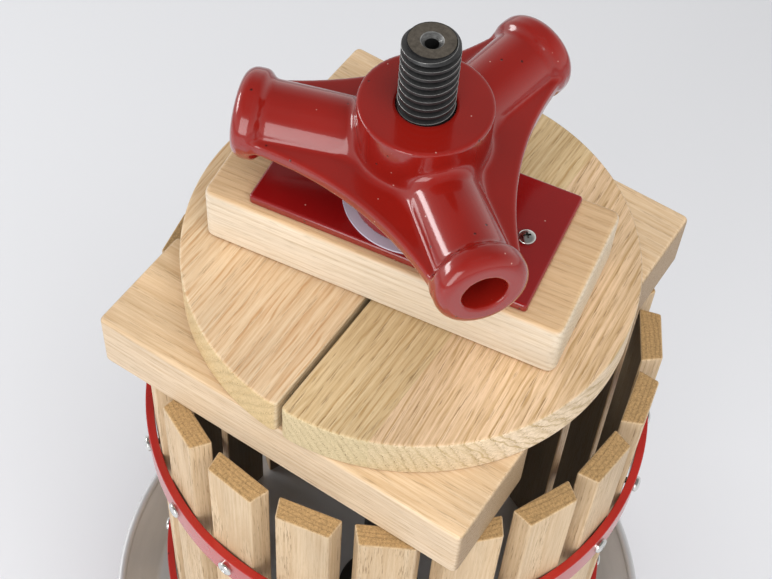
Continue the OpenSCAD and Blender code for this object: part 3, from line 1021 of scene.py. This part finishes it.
@dataclass
class CrownNut:
    """The cast nut, sized in millimetres: a hub, three bar sockets with beads, and a web between them."""

    looks: Looks
    voxel: float = 0.95
    hub_r: float = 33.0
    hub_h: float = 69.0
    hub_edge: float = 1.0
    bore_r: float = 14.5
    bore_edge: float = 1.5
    arm_z: float = 34.0
    tilt_deg: float = 2.0
    arm_len: float = 92.0
    tube_r: float = 19.2
    tube_half: float = 42.0
    tube_edge: float = 1.0
    bead_r: float = 23.0
    bead_w: float = 14.0
    bead_rounds: Point2 = (4.5, 6.5)
    bead_fillet: float = 3.0
    tail: float = 40.0
    socket_r: float = 11.0
    socket_depth: float = 53.0
    socket_floor: float = 2.0
    socket_edge: float = 1.2
    waist: float = 49.2
    tip: float = 43.0
    web_z: float = 32.3
    web_t: float = 8.0
    web_round: float = 1.9
    web_fillet: float = 4.5
    crease_run: Point2 = (3.0, 12.0)
    creases: Point2 = (6.0, 1.4)
    first_arm_deg: float = 81.0
    reach: Point2 = (99.0, 72.0)
    margin: float = 3.0
    outside: float = 10.0
    sharp_deg: float = 70.0

    @staticmethod
    def blend(a: np.ndarray, b: np.ndarray, k: Union[float, np.ndarray]) -> np.ndarray:
        """Joins two solids with a fillet of about k."""
        h = np.maximum(k - np.abs(a - b), 0) / k
        return np.minimum(a, b) - h * h * k / 4

    @classmethod
    def shave(cls, a: np.ndarray, b: np.ndarray, k: float) -> np.ndarray:
        """Keeps what two solids share, with an edge rounded by about k."""
        return -cls.blend(-a, -b, k)

    @staticmethod
    def can(radial: np.ndarray, axial: np.ndarray, radius: float, half: float, edge: float) -> np.ndarray:
        """Distance to a cylinder with rounded rims.

        Args:
            radial: Distances off its axis.
            axial: Distances off its middle.
            radius: Its radius.
            half: Half its length.
            edge: Radius of its rims.

        Returns:
            The distance field.
        """
        out_r = radial - (radius - edge)
        out_z = np.abs(axial) - (half - edge)
        outside = np.hypot(np.maximum(out_r, 0), np.maximum(out_z, 0))
        return outside + np.minimum(np.maximum(out_r, out_z), 0) - edge

    def web(self, x: np.ndarray, y: np.ndarray, z: np.ndarray, r: np.ndarray) -> np.ndarray:
        """Distance to the level web, which is drawn in between the arms.

        Args:
            x: Places across.
            y: Places along.
            z: Heights.
            r: Distances from the spindle's axis.

        Returns:
            The distance field.
        """
        reach = self.arm_len - self.bead_w / 2
        sine = math.sin(math.pi / 3)
        edge = (reach * 0.5 + self.tip / 2 * sine, reach * sine - self.tip / 4)
        middle = (edge[0] ** 2 + edge[1] ** 2 - self.waist ** 2) / (2 * (edge[0] - self.waist))
        inside = r - reach
        for k in range(3):
            a = math.radians(self.first_arm_deg + 60 + 120 * k)
            away = np.hypot(x - middle * math.cos(a), y - middle * math.sin(a))
            inside = np.maximum(inside, middle - self.waist - away)
        return self.can(inside, z - self.web_z - self.web_t / 2, 0.0, self.web_t / 2, self.web_round)

    def field(self) -> tuple[np.ndarray, Point3]:
        """Samples the casting as a distance field.

        Returns:
            The field and the place of its first sample.
        """
        side, top = self.reach
        across = np.arange(-side, side, self.voxel, dtype=np.float32)
        up = np.arange(-self.margin, top, self.voxel, dtype=np.float32)
        x, y, z = np.meshgrid(across, across, up, indexing="ij")
        r = np.hypot(x, y)
        hub = self.can(r, z - self.hub_h / 2, self.hub_r, self.hub_h / 2, self.hub_edge)
        solid = self.blend(hub, self.web(x, y, z, r), self.web_fillet)
        crease = np.interp(r, [self.hub_r + run for run in self.crease_run], self.creases).astype(np.float32)
        tilt = math.radians(self.tilt_deg)
        inner, outer = self.bead_rounds
        socket_mid = self.arm_len - self.socket_depth + self.tail
        beads = np.full_like(r, np.inf)
        sockets = beads
        for k in range(3):
            a = math.radians(self.first_arm_deg + 120 * k)
            axis = (math.cos(tilt) * math.cos(a), math.cos(tilt) * math.sin(a), math.sin(tilt))
            s = x * axis[0] + y * axis[1] + (z - self.arm_z) * axis[2]
            radial = np.sqrt(np.maximum(x * x + y * y + (z - self.arm_z) ** 2 - s * s, 0))
            tube = self.can(radial, s - self.tube_half, self.tube_r, self.tube_half, self.tube_edge)
            bead = self.can(radial, s - (self.arm_len - self.bead_w / 2), self.bead_r, self.bead_w / 2, inner)
            front = self.can(radial, s - (self.arm_len - self.tail), self.bead_r, self.tail, outer)
            hole = self.can(radial, s - socket_mid, self.socket_r, self.tail, self.socket_floor)
            solid = self.blend(solid, tube, crease)
            beads = np.minimum(beads, np.maximum(bead, front))
            sockets = np.minimum(sockets, hole)
        solid = self.blend(solid, beads, self.bead_fillet)
        solid = self.shave(solid, -sockets, self.socket_edge)
        return self.shave(solid, self.bore_r - r, self.bore_edge), (-side, -side, -self.margin)

    def build(self) -> None:
        """Meshes the casting and dresses it."""
        values, first = self.field()
        grid = openvdb.FloatGrid(self.outside)
        grid.copyFromArray(values)
        points, quads = grid.convertToQuads(0.0)
        base = np.array((0.0, 0.0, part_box("crown_nut")[0].z))
        verts = (points * self.voxel + np.array(first)) * MM + base
        mesh = bpy.data.meshes.new("crown_nut_field")
        mesh.from_pydata(verts.tolist(), [], quads.tolist())
        bm = bmesh.new()
        bm.from_mesh(mesh)
        bpy.data.meshes.remove(mesh)
        casting = from_bmesh(bm, "crown_nut_casting", self.sharp_deg)
        dress(casting, "crown_nut", ["crown_nut"], self.looks.nut)


@dataclass
class Spindle:
    """The fixed spindle with its right-hand thread, and what clamps its foot."""

    looks: Looks
    radius: float = 14.0 * MM
    depth: float = 2.75 * MM
    pitch: float = 5.0 * MM
    thread_len: float = 400.0 * MM
    spare_turns: int = 2
    fade_turns: float = 2.0
    flank_deg: float = 15.0
    crest_edge: float = 0.18 * MM
    foot_bevel: float = 1.5 * MM
    bevel: float = 2.3 * MM
    lip: float = 0.4 * MM
    mouth_r: float = 5.2 * MM
    mouth_edge: float = 0.3 * MM
    mouth_depth: float = 2.2 * MM
    drill_r: float = 3.4 * MM
    drill_tip_deg: float = 30.0
    hole_depth: float = 13.0 * MM
    steps: int = 72
    sharp_deg: float = 30.0
    foot_wear: tuple[float, ...] = (0.1, 0.3, 0.15)
    # Thread rows: the bright crest edges, most of all the upper one, are painted highlights over worn steel.
    thread_wear_and_highlight: tuple[float, ...] = (0.3, 0.08, 1.0, 0.1, 0.02, 0.0)
    end_wear: tuple[float, ...] = (0.9, 0.3, 1.0, 0.5, 0.1, 0.0)

    def turn_profile(self) -> list[Point2]:
        """One turn of the thread.

        Returns:
            Radius and rise pairs, with the crest's edges eased.
        """
        run = self.depth * math.tan(math.radians(self.flank_deg))
        land = (self.pitch - 2 * run) / 2
        root = self.radius - self.depth
        edge = self.crest_edge
        return [(self.radius - edge, 0.0), (self.radius, edge), (self.radius, land - edge),
                (self.radius - edge, land), (root, land + run), (root, 2 * land + run)]

    def thread_rows(self, high: float, angles: Sequence[float]) -> list[list[Vector]]:
        """The thread, which fades in at its foot and ends in a bevel.

        Args:
            high: Height of the spindle's end.
            angles: The places round the axis.

        Returns:
            The rows of points, each a turn of a helix.
        """
        start = high - self.bevel - self.thread_len
        profile = self.turn_profile()
        turns = range(-self.spare_turns, int(self.thread_len / self.pitch) + self.spare_turns)
        rows = []
        for r, z in [(r, start + k * self.pitch + rise) for k in turns for r, rise in profile]:
            row = []
            for a in angles:
                height = min(max(z + self.pitch * a / (2 * math.pi), start), high)
                fade = min(max((height - start) / (self.fade_turns * self.pitch), 0.0), 1.0)
                thick = self.radius - (self.radius - r) * fade
                thick = min(thick, self.radius - self.bevel + high - height)
                row.append(Vector((thick * math.cos(a), thick * math.sin(a), height)))
            rows.append(row)
        return rows

    def build(self) -> None:
        """Builds the spindle, collar, seal, washer and nut."""
        low, high = (corner.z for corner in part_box("spindle"))
        angles = [2 * math.pi * i / self.steps for i in range(self.steps + 1)]
        foot = [(0.0, low), (self.radius - self.foot_bevel, low), (self.radius, low + self.foot_bevel)]
        tip = self.drill_r * math.tan(math.radians(self.drill_tip_deg))
        end = [(self.radius - self.bevel - self.lip, high), (self.mouth_r + self.lip, high),
               (self.mouth_r, high - self.mouth_edge), (self.drill_r, high - self.mouth_depth),
               (self.drill_r, high - self.hole_depth), (0.0, high - self.hole_depth - tip)]
        thread = self.thread_rows(high, angles)
        rows = [circle(r, z, angles) for r, z in foot] + thread + [circle(r, z, angles) for r, z in end]
        bm = skin(rows, closed=False)
        row_wear_and_highlight = list(self.foot_wear)
        row_wear_and_highlight += [self.thread_wear_and_highlight[k % len(self.thread_wear_and_highlight)] for k in range(len(thread) - 1)]
        row_wear_and_highlight += self.end_wear
        end_face = len(foot) + len(thread)
        # Per-face mark of worn bright steel and painted crest highlights.
        worn_and_highlit = bm.faces.layers.float.new("worn_and_highlit")
        turned_end = bm.faces.layers.float.new("turned")
        for k, face in enumerate(bm.faces):
            face[worn_and_highlit] = row_wear_and_highlight[k // self.steps]
            face[turned_end] = 1.0 if k // self.steps == end_face else 0.0
        dress(from_bmesh(bm, "threaded_spindle", self.sharp_deg), "stand", ["spindle"], self.looks.spindle)
        for node, name, edge, material in (("spindle_collar", "clamp_collar", 1.2, self.looks.collar),
                                           ("pan_gasket", "spindle_seal", 0.5, self.looks.rubber),
                                           ("spindle_washer", "foot_washer", 0.6, self.looks.zinc),
                                           ("spindle_nut", "foot_nut", 1.0, self.looks.zinc)):
            dress(eased_copy(node, name, edge * MM), "stand", [node], material)


@dataclass(frozen=True)
class Slab:
    """A rectangular piece with rounded corners and eased edges."""

    length: float
    width: float
    corner: float
    edge: float
    turn_deg: float = 0.0
    bore_r: float = 0.0
    bore_edge: float = 0.1 * MM
    bore_steps: int = 60
    corner_steps: int = 8
    edge_steps: int = 5

    def build(self, node: str, name: str) -> Piece:
        """Builds the piece where its node is.

        Args:
            node: The node that it stands for.
            name: The piece's name.

        Returns:
            The piece.
        """
        low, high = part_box(node)
        middle = ((low + high) / 2).to_2d()
        spin = Matrix.Rotation(math.radians(self.turn_deg), 2)
        x, y = self.length / 2, self.width / 2
        corners = fillet([(-x, -y), (x, -y), (x, y), (-x, y)], self.corner, self.corner_steps)
        outline = [tuple(spin @ Vector(point) + middle) for point in corners]
        piece = soft_prism(outline, low.z, high.z, self.edge, name, self.edge_steps)
        if self.bore_r:
            last_deg = 360 - 360 / self.bore_steps
            hole = arc((0, 0), self.bore_r, 0, last_deg, self.bore_steps - 1)
            cut(piece, soft_prism(hole, low.z - MM, high.z + MM, self.bore_edge, "bore"))
            harden(piece)
        return piece


GUIDE_R = 16.0 * MM
PRESS_TURN_DEG = 8.5


@dataclass
class PressStack:
    """What the nut presses on: washer, plate, block, boards and planks."""

    looks: Looks
    board_r: float = 122.0 * MM
    split: float = 3.0 * MM
    board_corner: float = 3.5 * MM
    board_edge: float = 1.6 * MM
    rim_steps: int = 150
    notch_steps: int = 18
    corner_steps: int = 6
    edge_steps: int = 4
    washer_edge: float = 0.12 * MM
    screw_x: float = 60.0 * MM
    screw_len: float = 22.0 * MM
    screw_turns_deg: Point2 = (20.0, 35.0)
    plank: Slab = Slab(225.0 * MM, 68.0 * MM, 4.0 * MM, 2.2 * MM)
    block: Slab = Slab(197.0 * MM, 86.0 * MM, 6.0 * MM, 3.0 * MM, PRESS_TURN_DEG, GUIDE_R)
    plate: Slab = Slab(152.0 * MM, 77.5 * MM, 2.6 * MM, 1.7 * MM, PRESS_TURN_DEG, GUIDE_R)

    def board_outline(self, side: int) -> list[Point2]:
        """A half disc with a notch for the spindle and rounded corners.

        Args:
            side: 1 for the right board, -1 for the left one.

        Returns:
            The outline, anticlockwise.
        """
        half = self.split / 2
        swing = math.degrees(math.acos(half / self.board_r))
        notch = math.degrees(math.acos(half / GUIDE_R))
        rim = arc((0, 0), self.board_r, -swing, swing, self.rim_steps)
        low, high = Vector(rim[0]), Vector(rim[-1])
        corner = self.board_corner
        down = Vector((0, corner))
        rim = [p for p in rim if (Vector(p) - low).length > corner and (Vector(p) - high).length > corner]
        outline = rim + curve(Vector(rim[-1]), high, high - down, self.corner_steps)[1:]
        outline += arc((0, 0), GUIDE_R, notch, -notch, self.notch_steps)
        outline += curve(low + down, low, Vector(rim[0]), self.corner_steps)[:-1]
        return outline if side > 0 else [(-x, y) for x, y in reversed(outline)]

    def build(self) -> None:
        """Builds every piece of the stack."""
        looks = self.looks
        for side, node, name, material in ((-1, "left_board", "left_press_board", looks.left_board),
                                           (1, "right_board", "right_press_board", looks.right_board)):
            low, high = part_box(node)
            outline = self.board_outline(side)
            board = soft_prism(outline, low.z, high.z, self.board_edge, name, self.edge_steps)
            dress(board, node, [node], material)
        for slab, node, name, body, material in (
                (self.plank, "front_plank", "front_rest_plank", "front_plank", looks.front_plank),
                (self.plank, "back_plank", "back_rest_plank", "back_plank", looks.back_plank),
                (self.block, "press_block", "oiled_press_block", "press_block", looks.block),
                (self.plate, "thrust_plate", "painted_thrust_plate", "press_block", looks.plate)):
            dress(slab.build(node, name), body, [node], material)
        washer = eased_copy("slip_washer", "nylon_slip_washer", self.washer_edge)
        dress(washer, "slip_washer", ["slip_washer"], looks.washer)
        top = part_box("thrust_plate")[1].z
        screws = []
        for x, turn_deg in zip((-self.screw_x, self.screw_x), self.screw_turns_deg):
            where = turned(self.plate.turn_deg) @ Matrix.Translation((x, 0, top)) @ turned(turn_deg)
            screws.append(place(PanScrew(self.screw_len).build("plate_screw"), where))
        dress(join(screws, "plate_fixing_screws"), "press_block", ["plate_screws"], looks.chrome)


@dataclass
class Basket:
    """The slats and the two hoops that hold them."""

    looks: Looks
    count: int = 20
    turn_deg: float = 2.5
    log_seed: int = 7
    inner_r: float = 132.0 * MM
    thick: float = 12.5 * MM
    inner_w: float = 35.81 * MM
    outer_w: float = 30.04 * MM
    edge: float = 1.3 * MM
    hoop_in_r: float = 145.48 * MM
    hoop_out_r: float = 150.48 * MM
    hoop_edge: float = 0.9 * MM
    hoop_steps: int = 200
    screw_bite: float = 9.0 * MM
    screw_turn: float = 0.4

    def build_slats(self, first_deg: float) -> None:
        """Builds the ring of slats.

        Args:
            first_deg: Angle of the first slat.
        """
        low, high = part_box("slat_01")
        outer_r = self.inner_r + self.thick
        section = [(self.inner_r, -self.inner_w / 2), (outer_r, -self.outer_w / 2),
                   (outer_r, self.outer_w / 2), (self.inner_r, self.inner_w / 2)]
        rows = [[Vector((x, y, z)) for x, y in section] for z in (low.z, high.z)]
        slats = from_bmesh(skin(rows, capped=True), "basket_slats")
        ease(slats, self.edge)
        repeat(slats, self.count, first_deg, self.looks.slat, self.log_seed)
        dress(slats, "basket", [f"slat_{i:02d}" for i in range(1, self.count + 1)])

    def build_hoop(self, which: str, first_deg: float) -> None:
        """Builds a hoop and the screws that hold it.

        Args:
            which: The hoop, upper or lower.
            first_deg: Angle of the first screw.
        """
        low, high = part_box(f"{which}_hoop")
        corners = [(self.hoop_in_r, low.z), (self.hoop_out_r, low.z),
                   (self.hoop_out_r, high.z), (self.hoop_in_r, high.z)]
        hoop = lathe(fillet(corners, self.hoop_edge, 3), f"{which}_steel_hoop", self.hoop_steps)
        harden(hoop)
        dress(hoop, "basket", [f"{which}_hoop"], self.looks.hoop)
        length = self.hoop_out_r - self.inner_r - self.thick + self.screw_bite
        screws = PanScrew(length).build(f"{which}_rivet_screws")
        seat = Matrix.Translation((self.hoop_out_r, 0, (low.z + high.z) / 2))
        out = Matrix.Rotation(math.pi / 2, 4, "Y")
        place(screws, seat @ out @ Matrix.Rotation(self.screw_turn, 4, "Z"))
        repeat(screws, self.count, first_deg, self.looks.chrome)
        dress(screws, "basket", [f"{which}_hoop_screws"])

    def build(self) -> None:
        """Builds the slats, hoops and screws."""
        first_deg = self.turn_deg + 180 / self.count
        self.build_slats(first_deg)
        for which in ("upper", "lower"):
            self.build_hoop(which, first_deg)


@dataclass
class JuicePan:
    """The spun pan with its rolled rim and spout."""

    looks: Looks
    hole_r: float = 14.15 * MM
    floor_r: float = 165.48 * MM
    wall_run: float = 22.0 * MM
    wall_h: float = 22.0 * MM
    sheet: float = 2.0 * MM
    bends: Point2 = (7.0 * MM, 9.0 * MM)
    bend_steps: int = 6
    rim_r: float = 3.0 * MM
    roll_deg: Point2 = (205.0, -25.0)
    roll_steps: int = 14
    steps: int = 192
    spout_r: float = 9.0 * MM
    spout_bore_r: float = 7.5 * MM
    spout_lip: float = 0.7 * MM
    spout_steps: int = 48
    sharp_deg: float = 35.0

    def build(self) -> None:
        """Builds the pan and its spout."""
        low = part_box("juice_pan")[0].z
        floor = low + self.sheet
        rim_z = floor + self.wall_h
        rim = self.floor_r + self.wall_run
        slant = math.hypot(self.wall_run, self.wall_h)
        side = self.sheet * slant / self.wall_h
        heel = self.sheet * (slant - self.wall_run) / self.wall_h
        inner = [(self.hole_r, floor), (self.floor_r, floor), (rim, rim_z)]
        outer = [(rim + side, rim_z), (self.floor_r + heel, low), (self.hole_r, low)]
        inner = fillet(inner, self.bends[0], self.bend_steps, keep=(0, 2))
        outer = fillet(outer, self.bends[1], self.bend_steps, keep=(0, 2))
        roll = arc((rim + side / 2, rim_z), self.rim_r, *self.roll_deg, self.roll_steps)
        pan = lathe(inner[:-1] + roll + outer[1:], "spun_juice_pan", self.steps)
        tube_in, tube_out = (-c.y for c in reversed(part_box("pour_spout")))
        lay = Matrix.Translation((0, 0, floor + self.spout_bore_r)) @ Matrix.Rotation(math.pi / 2, 4, "X")
        cutter = lathe([(0, tube_in), (self.spout_r, tube_in), (self.spout_r, tube_out), (0, tube_out)],
                       "spout_hole", self.spout_steps, ring=False)
        cut(pan, place(cutter, lay))
        pan.data.set_sharp_from_angle(angle=math.radians(self.sharp_deg))
        dress(pan, "stand", ["juice_pan"], self.looks.pan)
        lip = self.spout_lip
        wall = [(self.spout_bore_r, tube_in), (self.spout_r, tube_in), (self.spout_r, tube_out - lip),
                (self.spout_r - lip / 2, tube_out), (self.spout_bore_r + lip / 2, tube_out),
                (self.spout_bore_r, tube_out - lip)]
        spout = place(lathe(wall, "pan_spout", self.spout_steps), lay)
        dress(spout, "stand", ["pour_spout"], self.looks.pan)


@dataclass
class Stand:
    """The base plate, legs, feet and leg bolts."""

    looks: Looks
    steel_edge: float = 1.2 * MM
    pad_edge: float = 1.0 * MM
    legs: int = 3
    leg_t: float = 8.0 * MM
    bolt_rs: Point2 = (106.0 * MM, 130.0 * MM)
    bolt_r: float = 4.0 * MM
    bolt_tip: float = 1.0 * MM
    shank_steps: int = 20
    chamfer: float = 0.8
    head_r: float = 7.5 * MM
    head_h: float = 5.3 * MM
    sunk: float = 0.4 * MM
    first_leg_deg: float = -30.0
    head_sharp_deg: float = 20.0

    def build_bolts(self) -> None:
        """Builds the hexagon bolts that hold the legs to the base plate."""
        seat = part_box("leg_back")[1].z - self.leg_t
        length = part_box("leg_bolts")[1].z - seat
        head = [(0, -self.head_h), (self.head_r * self.chamfer, -self.head_h),
                (self.head_r, -self.head_h * self.chamfer), (self.head_r, 0), (0, 0)]
        shank = [(0, -self.sunk), (self.bolt_r, -self.sunk), (self.bolt_r, length - self.bolt_tip),
                 (self.bolt_r * self.chamfer, length), (0, length)]
        pieces = []
        for r in self.bolt_rs:
            where = Matrix.Translation((r, 0, seat))
            hexagon = lathe(head, "bolt_head", 6, ring=False, sharp_deg=self.head_sharp_deg)
            rod = lathe(shank, "bolt_shank", self.shank_steps, ring=False)
            pieces += [place(hexagon, where), place(rod, where)]
        bolts = join(pieces, "leg_fixing_bolts")
        repeat(bolts, self.legs, self.first_leg_deg, self.looks.zinc)
        dress(bolts, "stand", ["leg_bolts"])

    def build(self) -> None:
        """Builds the stand."""
        steel, rubber = self.looks.stand, self.looks.rubber
        dress(eased_copy("base_plate", "steel_base_plate", self.steel_edge), "stand", ["base_plate"], steel)
        for side in ("right", "back", "left"):
            leg, pad = f"leg_{side}", f"foot_pad_{side}"
            dress(eased_copy(leg, f"bent_leg_{side}", self.steel_edge), "stand", [leg], steel)
            dress(eased_copy(pad, f"rubber_foot_{side}", self.pad_edge), "stand", [pad], rubber)
        self.build_bolts()


# Stage

@dataclass(frozen=True)
class SoftBox:
    """A soft box that faces the press."""

    name: str
    stands_at: Point3
    size: Point2
    watts: float
    mirrored: bool = True

    def build(self, aim: Point3) -> None:
        """Hangs the lamp.

        Args:
            aim: The point that it faces.
        """
        light = bpy.data.lights.new(self.name, "AREA")
        light.shape = "RECTANGLE"
        light.size, light.size_y = self.size
        light.energy = self.watts
        box = bpy.data.objects.new(self.name, light)
        box.visible_glossy = self.mirrored
        box.location = self.stands_at
        box.rotation_euler = (Vector(aim) - Vector(self.stands_at)).to_track_quat("-Z", "Y").to_euler()
        bpy.context.scene.collection.objects.link(box)


@dataclass
class Studio:
    """The floor, the soft lights and the camera of the photograph's view."""

    camera_place: Point3 = (0.24059, -0.44457, 1.24498)
    camera_turn_deg: Point3 = (35.457, -2.628, 33.456)
    lens_mm: float = 73.854
    sensor_mm: float = 36.0
    nearest: float = 0.02
    floor_half: float = 4.0
    floor_colour: Point3 = (0.8, 0.81, 0.84)
    floor_rough: float = 0.9
    aim: Point3 = (0.0, 0.0, 0.6)
    air: Point3 = (1.0, 0.99, 0.975)
    horizon: float = 1.0
    zenith: float = 0.22
    lamps: tuple[SoftBox, ...] = (SoftBox("front window", (0.12, -2.0, 1.05), (0.85, 1.5), 14.5),
                                  SoftBox("left window", (-1.68, -0.52, 1.04), (0.9, 0.4), 11.0),
                                  SoftBox("high fill", (0.9, -0.6, 2.6), (2.2, 2.2), 54.0, mirrored=False))

    def build_world(self) -> None:
        """Builds the air, which is pale at the horizon and dimmer overhead."""
        world = bpy.data.worlds.new("studio air")
        bpy.context.scene.world = world
        world.use_nodes = True
        n = Nodes(world.node_tree)
        rise = n.axes(n.add("ShaderNodeTexCoord").outputs["Generated"])[2]
        strength = n.spread(rise, 0.0, 0.8, self.horizon, self.zenith)
        air = n.add("ShaderNodeBackground", {"Color": rgba(self.air), "Strength": strength})
        n.add("ShaderNodeOutputWorld", {"Surface": air.outputs[0]})

    def build_floor(self) -> None:
        """Builds the pale floor."""
        bm = bmesh.new()
        bmesh.ops.create_grid(bm, x_segments=1, y_segments=1, size=self.floor_half)
        floor = from_bmesh(bm, "studio_floor")
        material, n, shader, spot = start_material("pale floor")
        dimmer = rgba(tuple(c * 0.985 for c in self.floor_colour))
        cloud = n.noise(spot.outputs["Object"], 1.5)
        colour = n.mix(cloud, rgba(self.floor_colour), dimmer)
        n.feed(shader, {"Base Color": colour, "Roughness": self.floor_rough})
        floor.data.materials.append(material)

    def build_camera(self) -> None:
        """Sets up the photograph's view."""
        lens = bpy.data.cameras.new("photo view")
        lens.sensor_fit = "HORIZONTAL"
        lens.sensor_width = self.sensor_mm
        lens.lens = self.lens_mm
        lens.clip_start = self.nearest
        camera = bpy.data.objects.new("photo view", lens)
        camera.location = self.camera_place
        camera.rotation_euler = Euler([math.radians(d) for d in self.camera_turn_deg])
        bpy.context.scene.collection.objects.link(camera)
        bpy.context.scene.camera = camera

    def build(self) -> None:
        """Builds the stage."""
        bpy.context.scene.view_settings.view_transform = "Standard"
        self.build_world()
        for lamp in self.lamps:
            lamp.build(self.aim)
        self.build_floor()
        self.build_camera()


def main() -> None:
    """Builds the stage and every sub-assembly."""
    logging.basicConfig(level=logging.INFO, format="%(message)s")
    Studio().build()
    looks = Looks()
    for assembly in (Stand, JuicePan, Spindle, Basket, PressStack, CrownNut):
        assembly(looks).build()


if __name__ == "__main__":
    main()
